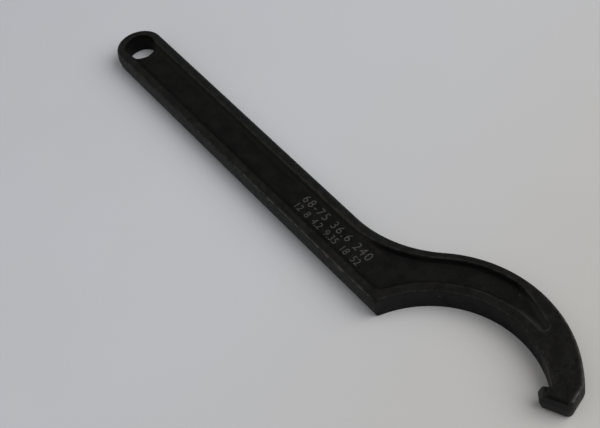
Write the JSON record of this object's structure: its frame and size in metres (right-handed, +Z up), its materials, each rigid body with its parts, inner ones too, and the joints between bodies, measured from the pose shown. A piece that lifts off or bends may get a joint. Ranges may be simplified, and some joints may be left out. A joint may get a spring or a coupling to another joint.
{
  "type": "hook spanner",
  "caption": "One-piece forged hook spanner with a nose, for turning slotted round nuts, with a webbed handle and a hanging hole.",
  "frame": {"origin": "middle of the tool's box, on the surface that the tool lies flat on", "axes": "+X along the handle from the hanging hole to the hook, +Y away from the hook's mouth, +Z up through the thickness"},
  "size_m": [0.24, 0.0424, 0.008],
  "materials": {
    "blackened_steel": "drop forged, hardened and blackened, satin with worn edges"
  },
  "bodies": {
    "root": {"spanner_forging": "blackened_steel"}
  },
  "joints": []
}
